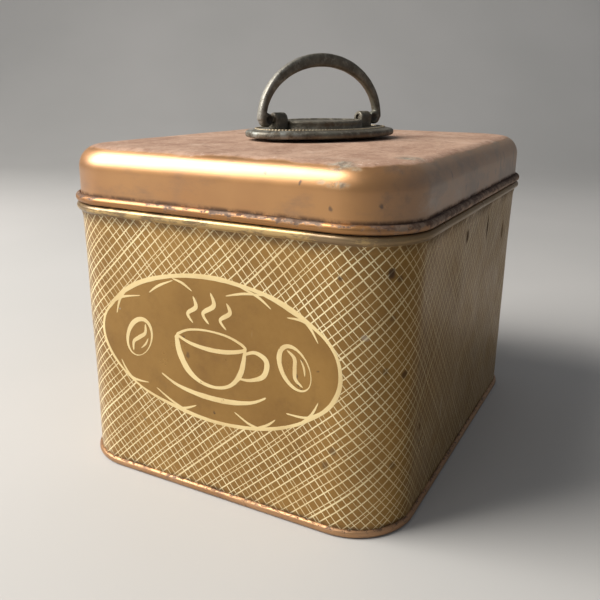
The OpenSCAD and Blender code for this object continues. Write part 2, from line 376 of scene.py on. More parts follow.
def label_pieces():
    ink = Ink()
    # the oval brush line, in one closed sweep of changing weight
    pts = []
    for i in range(72):
        th = 2 * math.pi * i / 72
        r = lab_r(th)
        deg = math.degrees(th)

        def lobe(c, w):
            d = (deg - c + 180) % 360 - 180
            return math.exp(-(d / w) ** 2)
        w = 0.75 + 0.95 * lobe(130, 26) + 0.85 * lobe(88, 16) + 1.1 * lobe(52, 15) + 0.75 * lobe(-12, 30) + 0.55 * lobe(190, 18) + 0.75 * lobe(-105, 16) + 0.55 * lobe(-70, 20)
        pts.append((47.0 * r * math.cos(th), LAB_Z + 26.0 * r * math.sin(th), w))
    ink.ribbon(pts, closed=True, lift=0.05)
    # short crossing ticks, as a stitched edge
    for st in ([(-40.2, 62.0), (-38.4, 67.2), (-34.4, 71.9)], [(-44.4, 63.2), (-38.2, 68.0), (-29.0, 70.2)], [(-24.9, 71.9), (-20.7, 74.9), (-14.6, 77.6)], [(-14.8, 78.3), (-10.6, 77.2), (-6.9, 75.0)],
               [(6.3, 75.4), (13.5, 77.2), (20.5, 77.6)], [(11.0, 79.4), (18.2, 76.9), (23.0, 73.6)], [(28.6, 71.8), (34.0, 71.6), (40.0, 68.6)], [(31.6, 73.8), (36.4, 70.0), (39.4, 65.4)],
               [(-39.8, 44.4), (-37.1, 40.0), (-32.4, 36.2)], [(-38.8, 40.3), (-33.8, 37.9), (-27.6, 37.8)], [(-24.2, 36.6), (-17.4, 32.8), (-10.6, 30.6)], [(-15.0, 30.9), (-11.0, 31.8), (-7.0, 33.7)],
               [(8.6, 34.9), (14.4, 31.9), (20.0, 31.2)], [(16.6, 31.0), (21.2, 33.2), (24.4, 36.0)], [(28.4, 39.3), (35.6, 39.6), (40.8, 42.8)], [(33.2, 36.9), (37.4, 41.0), (39.8, 45.8)]):
        w = [0.35, 0.85, 0.3]
        ink.ribbon([(s, z, w[i]) for i, (s, z) in enumerate(st)], lift=0.04)
    # the picture inside: a cup with steam, and a bean each side
    ink.ribbon([(-14.2, 58.6, 1.5), (-13.2, 52.5, 2.3), (-9.8, 46.4, 2.2), (-4.5, 43.0, 1.4), (2.0, 42.4, 1.1), (7.6, 44.6, 1.3), (11.6, 50.0, 1.9), (13.4, 58.4, 1.1)])
    ink.ribbon([(-14.2, 58.6, 1.0), (-9.0, 61.2, 0.8), (-1.0, 62.2, 0.7), (7.5, 61.4, 0.8), (13.4, 58.6, 1.1), (8.0, 56.4, 1.4), (0.0, 55.6, 1.5), (-8.0, 56.4, 1.2), (-14.0, 58.5, 0.8)])
    ink.ribbon([(12.4, 56.2, 0.9), (17.0, 58.0, 1.2), (21.2, 55.8, 1.9), (20.2, 50.6, 1.7), (15.2, 48.0, 1.1), (10.6, 47.6, 0.7)])
    ink.ribbon([(-21.5, 42.8, 0.6), (-14.5, 39.6, 1.2), (-4.0, 38.0, 1.9), (7.0, 38.2, 1.8), (15.5, 40.0, 1.1), (21.0, 43.0, 0.6)])
    ink.ribbon([(-7.0, 64.0, 0.6), (-9.0, 67.0, 1.2), (-5.6, 69.8, 1.5), (-6.6, 73.4, 0.5)])
    ink.ribbon([(-0.6, 64.6, 0.6), (-2.8, 68.0, 1.3), (1.6, 71.4, 1.7), (0.4, 75.6, 0.5)])
    ink.ribbon([(6.2, 63.8, 0.6), (4.0, 66.8, 1.2), (7.8, 69.8, 1.5), (6.6, 73.0, 0.5)])
    for cx, cz, rot, k in ((-30.5, 54.5, 62, 1.0), (31.5, 55.5, 118, 1.0)):
        ca, sa = math.cos(math.radians(rot)), math.sin(math.radians(rot))

        def loc(u, v):
            return cx + (u * ca - v * sa) * k, cz + (u * sa + v * ca) * k
        ring = []
        for i in range(16):
            a = 2 * math.pi * i / 16
            u, v = 7.6 * math.cos(a), 5.0 * math.sin(a)
            x, y = loc(u, v)
            ring.append((x, y, 1.0 + 0.7 * math.sin(a + 0.7)))
        ink.ribbon(ring, closed=True)
        sc = [(-6.4, 0.2), (-3.2, 1.5), (0, 0.1), (3.2, -1.4), (6.4, -0.1)]
        ww = [0.5, 1.2, 1.4, 1.2, 0.5]
        ink.ribbon([(*loc(u, v), w) for (u, v), w in zip(sc, ww)])
        sc = [(-3.4, -2.2), (-0.6, -3.2), (2.2, -3.3)]
        ink.ribbon([(*loc(u, v), w) for (u, v), w in zip(sc, (0.3, 0.7, 0.3))])
    return make_mesh("label_ink", ink.v, ink.f, 50)


# ---------------------------------------------------------------- materials
OCHRE = (0.345, 0.187, 0.047)
OCHRE_D = (0.250, 0.128, 0.030)
CREAM = (0.95, 0.80, 0.47)
RUST = (0.045, 0.020, 0.010)


def warp(t, p, scale, amount):
    """Positions pushed about a little, so that marks placed one by one get ragged edges."""
    n = t.nt.nodes.new("ShaderNodeTexNoise")
    n.inputs["Scale"].default_value = scale
    n.inputs["Detail"].default_value = 4.0
    n.inputs["Roughness"].default_value = 0.65
    t.nt.links.new(p, n.inputs["Vector"])
    a = t.nt.nodes.new("ShaderNodeVectorMath")
    a.operation = "MULTIPLY_ADD"
    t.nt.links.new(n.outputs["Color"], a.inputs[0])
    a.inputs[1].default_value = (amount, amount, amount)
    b = t.nt.nodes.new("ShaderNodeVectorMath")
    b.operation = "ADD"
    t.nt.links.new(p, b.inputs[0])
    b.inputs[1].default_value = (-amount / 2, -amount / 2, -amount / 2)
    t.nt.links.new(b.outputs[0], a.inputs[2])
    return a.outputs[0]


def marks(t, pw, items):
    """Marks at given places: (x, y, z, radius, stretch along z, strength), in mm."""
    out = None
    for x, y, z, r, st, k in items:
        a = t.nt.nodes.new("ShaderNodeVectorMath")
        a.operation = "SUBTRACT"
        t.nt.links.new(pw, a.inputs[0])
        a.inputs[1].default_value = (x * MM, y * MM, z * MM)
        b = t.nt.nodes.new("ShaderNodeVectorMath")
        b.operation = "MULTIPLY"
        t.nt.links.new(a.outputs[0], b.inputs[0])
        b.inputs[1].default_value = (1, 1, 1 / st)
        c = t.nt.nodes.new("ShaderNodeVectorMath")
        c.operation = "LENGTH"
        t.nt.links.new(b.outputs[0], c.inputs[0])
        m = t.step(c.outputs["Value"], r * MM, r * 0.35 * MM, 0.0, k)
        out = m if out is None else t.m("MAXIMUM", out, m)
    return out


def wear_nodes(t, p):
    """Small rust specks and fine scratches: returns speck mask, scratch mask."""
    n1 = t.noise(p, 420, 3, 0.6)
    v = t.voronoi(t.mapping(p, loc=(0.013, 0.007, 0.031)), 95)
    size = t.xyz(v.outputs["Color"])[0]
    rr = t.m("ADD", t.step(size, 0.72, 1.0, 0.0, 0.060), t.m("MULTIPLY", t.m("SUBTRACT", n1, 0.5), 0.11))
    spot = t.m("MULTIPLY", t.step(t.m("SUBTRACT", rr, v.outputs["Distance"]), -0.015, 0.03), t.step(size, 0.72, 0.78))
    spot = t.m("MULTIPLY", spot, t.step(t.noise(t.mapping(p, loc=(2, 3, 1)), 25, 2, 0.5), 0.42, 0.60, 0.15, 0.9))
    sv = t.mapping(p, scale=(1.0, 1.0, 0.10), rot=(0.35, 0.5, 0.2))
    s1 = t.noise(sv, 420, 2, 0.5)
    zone = t.step(t.noise(p, 22, 2, 0.5), 0.52, 0.64)
    scr = t.m("MULTIPLY", t.step(s1, 0.70, 0.735), zone)
    return spot, scr


def mat_printed():
    t = NT("printed_tinplate_look")
    p = t.obj()
    pat = t.attr()
    S, Z, O = t.xyz(pat)
    # hand-ruled waver
    w1 = t.m("MULTIPLY", t.m("SUBTRACT", t.noise(p, 16, 2, 0.5), 0.5), 1.7)
    w2 = t.m("MULTIPLY", t.m("SUBTRACT", t.noise(t.mapping(p, loc=(3, 1, 2)), 19, 2, 0.5), 0.5), 1.7)

    def family(ang, period, lines, warp, seed, k):
        lines = [(q * k, w * 0.76) for q, w in lines]
        period = period * k
        a = math.radians(ang)
        c = t.m("ADD", t.m("MULTIPLY", S, -math.sin(a)), t.m("MULTIPLY", Z, math.cos(a)))
        c = t.m("ADD", c, warp)
        f = t.m("FRACT", t.m("ADD", t.m("DIVIDE", c, period), seed))
        stops = [(0.0, 0.0)]
        for q, w in lines:
            stops.append(((q - w / 2) / period, 1.0))
            stops.append(((q + w / 2) / period, 0.0))
        return t.ramp(f, stops, "CONSTANT")

    la = [(1.2, .52), (3.0, .40), (6.4, .55), (9.4, .46), (10.9, .36), (14.4, .55), (17.6, .44), (20.6, .58), (22.1, .38), (25.9, .5), (28.6, .42), (32.0, .55), (33.5, .36), (36.6, .5), (39.4, .42)]
    lb = [(1.0, .42), (3.4, .34), (5.2, .30), (8.6, .44), (11.0, .32), (13.8, .42), (15.2, .28), (18.4, .40), (20.9, .34), (24.0, .44), (26.0, .30), (28.9, .38), (31.4, .30), (33.2, .40), (35.9, .32)]
    A = family(43, 41.7, la, w1, 0.13, 0.87)
    B = family(-50, 37.9, lb, w2, 0.41, 0.90)
    # gaps where the rule skipped
    ga = t.step(t.noise(t.mapping(p, loc=(1, 5, 2)), 150, 3, 0.6), 0.28, 0.42, 0.72, 1.0)
    gb = t.step(t.noise(t.mapping(p, loc=(7, 2, 4)), 110, 3, 0.6), 0.30, 0.46, 0.70, 0.96)
    hatch = t.m("MAXIMUM", t.m("MULTIPLY", A, ga), t.m("MULTIPLY", B, gb))
    # label field
    x = t.m("DIVIDE", S, 47.0)
    z = t.m("DIVIDE", t.m("SUBTRACT", Z, LAB_Z), 26.0)
    th = t.m("ARCTAN2", z, x)
    fr = t.m("ADD", t.m("DIVIDE", th, 2 * math.pi), 0.5)
    stops = [(0.0, lab_r(-math.pi) / 2)] + [(min(max((a / (2 * math.pi)) + 0.5, 0.001), 0.999), lab_r(a) / 2) for a, r in _pol] + [(1.0, lab_r(math.pi) / 2)]
    edge = t.m("MULTIPLY", t.ramp(fr, stops[:32]), 2.0)
    rad = t.m("SQRT", t.m("ADD", t.m("MULTIPLY", x, x), t.m("MULTIPLY", z, z)))
    inside = t.m("LESS_THAN", rad, edge)
    zone = t.m("MULTIPLY", t.m("SUBTRACT", 1.0, inside), t.m("LESS_THAN", Z, 96.6))
    outer = t.m("GREATER_THAN", O, -0.2)
    hatch = t.m("MULTIPLY", t.m("MULTIPLY", hatch, zone), outer)
    # painted shade: print faded and ground darkened and dulled round the corner and along the long right side
    x_, y_, z_ = t.xyz(p)
    right_side_shade = t.step(x_, 0.052, 0.0645)
    hatch = t.m("MULTIPLY", hatch, t.m("SUBTRACT", 1.0, t.m("MULTIPLY", right_side_shade, 0.55)))
    # ochre ground
    big = t.noise(p, 26, 4, 0.6)
    fine = t.noise(p, 700, 3, 0.6)
    col = t.mix(t.step(big, 0.30, 0.72), OCHRE, OCHRE_D)
    col = t.mix(t.m("MULTIPLY", fine, 0.16), col, (0.50, 0.31, 0.11))
    mott = t.step(t.noise(t.mapping(p, loc=(2, 2, 9)), 95, 5, 0.7), 0.50, 0.72, 0.0, 0.30)
    col = t.mix(mott, col, (0.17, 0.085, 0.026))
    cream = t.mix(t.step(t.noise(p, 60, 3, 0.6), 0.35, 0.7), CREAM, (0.82, 0.63, 0.33))
    # painted shade: the ground darkened towards the right side
    col = t.mix(t.m("MULTIPLY", right_side_shade, 0.38), col, (0.13, 0.075, 0.028))
    col = t.mix(t.m("MULTIPLY", hatch, 0.93), col, cream)
    # the stop bead: pale gold, rubbed, and darker towards the right side as painted shade
    bead = t.step(Z, 96.35, 96.75)
    bw = t.step(t.m("ADD", t.noise(t.mapping(p, scale=(1, 1, 3)), 110, 6, 0.74), t.m("ADD", t.step(S, -20, -45, 0.0, 0.10), t.step(S, 30, 44, 0.0, 0.12))), 0.50, 0.62)
    bead_right_shade = t.step(x_, 0.046, 0.064, 0.0, 0.72)
    beadcol = t.mix(t.m("MAXIMUM", t.m("MULTIPLY", bw, 0.8), bead_right_shade), (0.56, 0.375, 0.155), (0.165, 0.110, 0.066))
    col = t.mix(bead, col, beadcol)
    # painted shade and grime: darker in the crease under the bead and just over the base rim, broken up by noise
    g1 = t.m("MULTIPLY", t.step(Z, 92.0, 96.4), t.m("SUBTRACT", 1.0, bead))
    g2 = t.step(Z, 4.6, 2.7)
    crease_shade_and_grime = t.m("MULTIPLY", t.m("MAXIMUM", t.m("MULTIPLY", g1, 0.7), g2), t.step(t.noise(p, 130, 4, 0.65), 0.30, 0.62))
    col = t.mix(t.m("MULTIPLY", crease_shade_and_grime, 0.85), col, (0.060, 0.034, 0.018))
    spot, scr = wear_nodes(t, p)
    pw = warp(t, p, 330, 0.0022)
    hand = marks(t, pw, [(59.2, -75.3, 88.4, 2.0, 1.0, 0.95), (61.1, -73.0, 86.6, 1.5, 1.0, 0.55), (45.9, -81.9, 86.9, 1.15, 1.0, 0.85), (63.1, -69.4, 55.6, 1.7, 1.1, 0.8), (59.0, -75.5, 57.9, 1.5, 1.2, 0.45),
                         (61.7, -72.1, 25.0, 1.9, 1.0, 0.45), (60.2, -74.2, 74.5, 1.3, 1.0, 0.4), (65.0, -56.5, 32.3, 1.4, 1.4, 0.7), (65.0, -13.9, 88.6, 2.3, 1.6, 0.85), (65.0, 17.2, 86.7, 1.8, 3.4, 0.9),
                         (65.0, 47.3, 80.0, 2.0, 2.6, 0.7), (45.0, -82.0, 30.1, 1.6, 1.3, 0.55), (42.7, -82.0, 24.6, 1.7, 1.2, 0.55), (33.9, -82.0, 58.7, 0.75, 1.0, 0.8), (9.8, -82.0, 20.9, 0.8, 1.0, 0.7),
                         (0.3, -82.0, 32.8, 0.7, 1.0, 0.8), (-9.7, -82.0, 51.9, 1.1, 1.4, 0.6), (-11.0, -82.0, 58.3, 0.7, 1.0, 0.7), (-30.4, -82.0, 22.6, 0.9, 1.0, 0.55), (39.4, -82.0, 56.0, 0.6, 1.0, 0.6),
                         (31.9, -82.0, 53.2, 0.75, 1.8, 0.9), (32.9, -82.0, 50.7, 0.8, 2.0, 0.95), (34.0, -82.0, 48.4, 0.6, 2.0, 0.8), (-48, 60, 70, 2.2, 1.6, 0.8), (-65, -20, 40, 2.0, 1.4, 0.8), (-65, 35, 78, 1.6, 2.4, 0.8),
                         (20, 82, 62, 2.1, 1.2, 0.8), (-15, 82, 30, 1.7, 1.3, 0.7)])
    spot = t.m("MULTIPLY", t.m("MAXIMUM", spot, hand), outer)
    grey = marks(t, pw, [(53.6, -79.6, 69.1, 1.6, 1.0, 0.5), (-38.6, -82.0, 64.0, 0.5, 1.0, 0.7)])
    col = t.mix(grey, col, (0.42, 0.36, 0.29))
    col = t.mix(t.m("MULTIPLY", spot, 0.9), col, RUST)
    col = t.mix(t.m("MULTIPLY", scr, 0.55), col, (0.45, 0.36, 0.24))
    # the plain side of the sheet
    tinc = t.mix(t.step(t.noise(p, 70, 5, 0.65), 0.35, 0.7), (0.36, 0.33, 0.27), (0.17, 0.125, 0.085))
    col = t.mix(outer, tinc, col)
    rough = t.m("ADD", t.step(t.noise(p, 48, 4, 0.6), 0.3, 0.75, 0.27, 0.42), t.m("MULTIPLY", t.m("MAXIMUM", spot, crease_shade_and_grime), 0.35))
    t.set(Base_Color=col, Roughness=rough, Metallic=t.m("MULTIPLY", t.m("SUBTRACT", 1.0, t.m("MAXIMUM", spot, t.m("MULTIPLY", hatch, 0.8))), 0.45))
    t.put(t.bsdf.inputs["Specular IOR Level"], t.m("SUBTRACT", 0.35, t.m("MULTIPLY", right_side_shade, 0.30)))
    t.put(t.bsdf.inputs["Coat Weight"], t.m("SUBTRACT", 0.12, t.m("MULTIPLY", right_side_shade, 0.12)))
    t.bsdf.inputs["Coat Roughness"].default_value = 0.14
    t.bsdf.inputs["Coat IOR"].default_value = 1.5
    h = t.m("ADD", t.m("MULTIPLY", hatch, 0.35), t.m("MULTIPLY", fine, 0.25))
    h = t.m("SUBTRACT", h, t.m("MULTIPLY", spot, 0.8))
    t.bump(h, 0.35, 0.00008)
    return t.mat


def mat_ink():
    t = NT("cream_ink_look")
    p = t.obj()
    col = t.mix(t.step(t.noise(p, 60, 3, 0.6), 0.35, 0.75), (0.83, 0.64, 0.31), (0.70, 0.50, 0.22))
    chip = t.step(t.noise(t.mapping(p, loc=(4, 4, 1)), 330, 4, 0.7), 0.66, 0.70)
    col = t.mix(t.m("MULTIPLY", chip, 0.8), col, OCHRE_D)
    spot, scr = wear_nodes(t, p)
    col = t.mix(t.m("MULTIPLY", spot, 0.9), col, RUST)
    t.set(Base_Color=col, Roughness=t.step(t.noise(p, 48, 3, 0.6), 0.3, 0.7, 0.30, 0.45))
    t.bsdf.inputs["Coat Weight"].default_value = 0.3
    t.bsdf.inputs["Coat Roughness"].default_value = 0.18
    t.bump(t.noise(p, 900, 3, 0.6), 0.2, 0.00005)
    return t.mat


def mat_lid():
    t = NT("copper_lid_look")
    p = t.obj()
    x, y, z = t.xyz(p)
    big = t.noise(p, 20, 4, 0.6)
    fine = t.noise(p, 900, 3, 0.6)
    col = t.mix(t.step(big, 0.32, 0.70), (0.525, 0.248, 0.064), (0.425, 0.182, 0.042))
    # lengthwise rubbing, with smoky stains on the skirt
    stain = t.step(t.noise(t.mapping(p, scale=(1, 1, 2.2), loc=(1, 1, 1)), 38, 5, 0.68), 0.48, 0.74, 0.0, 0.62)
    col = t.mix(stain, col, (0.25, 0.13, 0.062))
    # right side is duller, and its colour darkened as painted shade
    side = t.m("MULTIPLY", t.step(x, 0.050, 0.0655), 0.55)
    col = t.mix(side, col, (0.30, 0.175, 0.095))
    smear = t.m("MULTIPLY", t.step(x, 0.046, 0.062), t.step(t.noise(t.mapping(p, scale=(1, 0.45, 1), loc=(3, 7, 2)), 75, 6, 0.72), 0.44, 0.62))
    col = t.mix(t.m("MULTIPLY", smear, 0.55), col, (0.13, 0.082, 0.052))
    pale = t.m("MULTIPLY", t.step(x, 0.046, 0.062), t.step(t.noise(t.mapping(p, scale=(1, 0.5, 1), loc=(9, 2, 5)), 95, 6, 0.72), 0.54, 0.70))
    col = t.mix(t.m("MULTIPLY", pale, 0.45), col, (0.42, 0.33, 0.25))
    # flat top: dusty and rusty
    edge_n = t.m("MULTIPLY", t.m("SUBTRACT", t.noise(p, 60, 5, 0.7), 0.5), 0.0022)
    top = t.step(t.m("ADD", z, edge_n), 0.11800, 0.11860)
    streak = t.noise(t.mapping(p, scale=(1.0, 0.50, 1.0), rot=(0, 0, 0.2)), 62, 6, 0.72)
    tc = t.mix(t.step(streak, 0.35, 0.68), (0.51, 0.325, 0.222), (0.335, 0.192, 0.124))
    tc = t.mix(t.step(t.noise(p, 180, 5, 0.7), 0.50, 0.74, 0.0, 0.60), tc, (0.20, 0.090, 0.052))
    tc = t.mix(t.step(t.noise(t.mapping(p, loc=(8, 2, 1)), 55, 4, 0.7), 0.54, 0.72, 0.0, 0.55), tc, (0.58, 0.42, 0.31))
    grit = t.noise(t.mapping(p, loc=(6, 1, 4)), 620, 4, 0.75)
    tc = t.mix(t.step(grit, 0.56, 0.70, 0.0, 0.75), tc, (0.66, 0.52, 0.40))
    tc = t.mix(t.step(grit, 0.44, 0.32, 0.0, 0.65), tc, (0.13, 0.060, 0.036))
    brush = t.noise(t.mapping(p, scale=(1.0, 0.20, 1.0), rot=(0, 0, 0.35)), 330, 4, 0.7)
    tc = t.mix(t.step(brush, 0.50, 0.72, 0.0, 0.32), tc, (0.25, 0.125, 0.078))
    col = t.mix(top, col, tc)
    # paint gone to grey metal at the near corner and in small chips along the edges
    ring = t.m("MULTIPLY", t.step(z, 0.1120, 0.1165), t.m("SUBTRACT", 1.0, t.m("MULTIPLY", top, 0.85)))
    chipn = t.noise(t.mapping(p, loc=(5, 5, 5)), 260, 6, 0.75)

    def near(cx, cy, cz, r):
        dx, dy, dz = t.m("SUBTRACT", x, cx), t.m("SUBTRACT", y, cy), t.m("SUBTRACT", z, cz)
        d = t.m("SQRT", t.m("ADD", t.m("ADD", t.m("MULTIPLY", dx, dx), t.m("MULTIPLY", dy, dy)), t.m("MULTIPLY", dz, dz)))
        return t.step(d, r, r * 0.25)
    pc = warp(t, p, 260, 0.0020)
    c1 = marks(t, pc, [(43.5, -77.6, 118.4, 5.6, 0.42, 0.9), (48.2, -78.0, 117.6, 2.6, 0.45, 0.7), (44.2, -81.9, 113.3, 4.6, 0.30, 0.9), (39.0, -81.9, 113.9, 2.0, 0.4, 0.6)])
    c1 = t.m("MAXIMUM", c1, t.m("MAXIMUM", near(0.0560, -0.0560, 0.1190, 0.0060), near(-0.060, 0.072, 0.118, 0.012)))
    chip = t.m("MAXIMUM", t.m("MULTIPLY", t.step(chipn, 0.36, 0.54), c1), t.m("MULTIPLY", t.step(chipn, 0.66, 0.70), ring))
    col = t.mix(t.m("MULTIPLY", chip, 0.85), col, t.mix(t.step(t.noise(p, 520, 4, 0.7), 0.40, 0.58), (0.34, 0.325, 0.250), (0.125, 0.115, 0.085)))
    # bead: copper with rust in patches, more of them towards the right side as painted shade, and dirt in the groove
    # above it
    bead = t.step(z, 0.10300, 0.10265)
    brt = t.m("ADD", t.noise(t.mapping(p, scale=(1, 1, 1.6)), 260, 5, 0.75), t.step(z, 0.1008, 0.1026, -0.10, 0.07))
    # painted shade: more dark patches towards the right side
    brt = t.m("ADD", brt, t.step(x, 0.045, 0.064, 0.0, 0.13))
    brt = t.m("ADD", brt, t.m("MULTIPLY", t.m("SUBTRACT", t.noise(p, 55, 3, 0.6), 0.5), 0.5))
    br = t.step(brt, 0.50, 0.62)
    col = t.mix(t.m("MULTIPLY", bead, 0.5), col, (0.26, 0.125, 0.055))
    col = t.mix(t.m("MULTIPLY", t.m("MULTIPLY", br, bead), 0.85), col, t.mix(t.step(t.noise(p, 330, 4, 0.7), 0.40, 0.62), (0.070, 0.040, 0.030), (0.21, 0.155, 0.115)))
    gro = t.m("MULTIPLY", t.m("MULTIPLY", t.step(z, 0.10240, 0.10285), t.step(z, 0.10430, 0.10290)), t.step(t.noise(p, 160, 4, 0.7), 0.30, 0.58))
    col = t.mix(t.m("MULTIPLY", gro, 0.85), col, (0.055, 0.028, 0.018))
    spot, scr = wear_nodes(t, p)
    col = t.mix(t.m("MULTIPLY", spot, 0.85), col, RUST)
    col = t.mix(t.m("MULTIPLY", scr, 0.35), col, (0.60, 0.45, 0.28))
    rust = t.m("MAXIMUM", t.m("MULTIPLY", br, bead), t.m("MAXIMUM", spot, gro))
    dull = t.m("MAXIMUM", t.m("MULTIPLY", top, 0.9), t.m("MAXIMUM", rust, t.m("MULTIPLY", chip, 0.7)))
    pw = warp(t, p, 330, 0.0018)
    hand = marks(t, pw, [(20.5, -81.2, 114.9, 0.75, 1, 0.9), (32.5, -81.8, 113.4, 0.7, 1.6, 0.9), (56.2, -78.1, 108.0, 0.95, 1.2, 0.9), (64.7, -39.9, 113.0, 0.75, 3.6, 0.75), (65, 29.8, 110.5, 1.3, 4.2, 0.75), (65, 31.5, 107.0, 1.3, 2.0, 0.6), (65, 22, 108.0, 1.6, 1.2, 0.5), (65, 36, 113, 1.1, 6, 0.6), (65, 55, 110, 1.2, 5, 0.65), (65, -5.4, 105.8, 1.4, 1.6, 0.7), (65, -22, 107, 1.2, 1.5, 0.5), (42.5, -82.1, 106.6, 0.9, 1.2, 0.8), (62, 66, 116, 1.6, 3, 0.6), (-60, 20, 112, 1.5, 2, 0.6), (0, 81, 111, 1.8, 2, 0.7)])
    spot = t.m("MAXIMUM", spot, hand)
    col = t.mix(t.m("MULTIPLY", hand, 0.85), col, RUST)
    rough = t.m("ADD", t.step(t.noise(p, 42, 4, 0.6), 0.3, 0.75, 0.36, 0.48), t.m("ADD", t.m("MULTIPLY", dull, 0.36), t.m("MULTIPLY", side, 0.25)), clamp=True)
    metal = t.m("SUBTRACT", 0.80, t.m("ADD", t.m("MULTIPLY", dull, 0.72), t.m("MULTIPLY", side, 0.5)), clamp=True)
    t.set(Base_Color=col, Roughness=rough, Metallic=metal)
    t.put(t.bsdf.inputs["Coat Weight"], t.m("SUBTRACT", 1.0, t.m("MAXIMUM", dull, t.m("MULTIPLY", bead, 0.8)), clamp=True))
    t.bsdf.inputs["Coat IOR"].default_value = 1.75
    t.bsdf.inputs["Coat Roughness"].default_value = 0.36
    h = t.m("SUBTRACT", t.m("MULTIPLY", fine, 0.30), t.m("ADD", t.m("MULTIPLY", rust, 0.8), t.m("MULTIPLY", chip, 0.7)))
    h = t.m("ADD", h, t.m("MULTIPLY", t.m("MULTIPLY", t.noise(p, 380, 4, 0.7), top), 1.2))
    t.bump(h, 0.4, 0.00012)
    return t.mat


def mat_copper_rim():
    t = NT("copper_rim_look")
    p = t.obj()
    x, y, z = t.xyz(p)
    col = t.mix(t.step(t.noise(p, 40, 4, 0.6), 0.3, 0.7), (0.52, 0.30, 0.155), (0.42, 0.225, 0.105))
    wear_and_right_shade = t.step(t.noise(t.mapping(p, scale=(1, 1, 2)), 190, 6, 0.74), 0.50, 0.66)
    # painted shade: darker towards the right side, on top of the noise patches
    wear_and_right_shade = t.m("MAXIMUM", wear_and_right_shade, t.step(x, 0.050, 0.066, 0.0, 0.65))
    col = t.mix(t.m("MULTIPLY", wear_and_right_shade, 0.55), col, (0.16, 0.08, 0.045))
    nick = t.step(t.m("ADD", t.noise(t.mapping(p, scale=(1, 1, 1.5), loc=(4, 2, 0)), 420, 5, 0.75), t.step(z, 0.0018, 0.0027, 0.0, 0.12)), 0.60, 0.68)
    col = t.mix(t.m("MULTIPLY", nick, 0.8), col, (0.085, 0.050, 0.032))
    # painted shade: the very bottom edge, where the rim meets the floor, darkened
    under = t.step(z, 0.0006, 0.0001)
    col = t.mix(t.m("MULTIPLY", under, 0.7), col, (0.10, 0.06, 0.04))
    spot, scr = wear_nodes(t, p)
    col = t.mix(t.m("MULTIPLY", spot, 0.8), col, RUST)
    rough = t.step(t.noise(p, 90, 4, 0.6), 0.3, 0.75, 0.36, 0.55)
    t.set(Base_Color=col, Roughness=rough, Metallic=t.m("SUBTRACT", 0.75, t.m("MULTIPLY", t.m("MAXIMUM", wear_and_right_shade, spot), 0.5)))
    t.bump(t.m("SUBTRACT", t.noise(p, 600, 4, 0.65), nick), 0.5, 0.00014)
    return t.mat


def mat_tin():
    t = NT("bare_tinplate_look")
    p = t.obj()
    col = t.mix(t.step(t.noise(p, 45, 5, 0.6), 0.3, 0.7), (0.46, 0.44, 0.39), (0.27, 0.24, 0.19))
    rust = t.step(t.noise(t.mapping(p, loc=(3, 0, 1)), 90, 5, 0.75), 0.58, 0.70)
    col = t.mix(t.m("MULTIPLY", rust, 0.8), col, (0.16, 0.075, 0.035))
    t.set(Base_Color=col, Roughness=t.m("ADD", t.step(t.noise(p, 120, 4, 0.6), 0.3, 0.7, 0.26, 0.42), t.m("MULTIPLY", rust, 0.35)), Metallic=t.m("SUBTRACT", 0.95, t.m("MULTIPLY", rust, 0.7)))
    t.bump(t.noise(t.mapping(p, scale=(1, 1, 6)), 300, 3, 0.6), 0.25, 0.0001)
    return t.mat


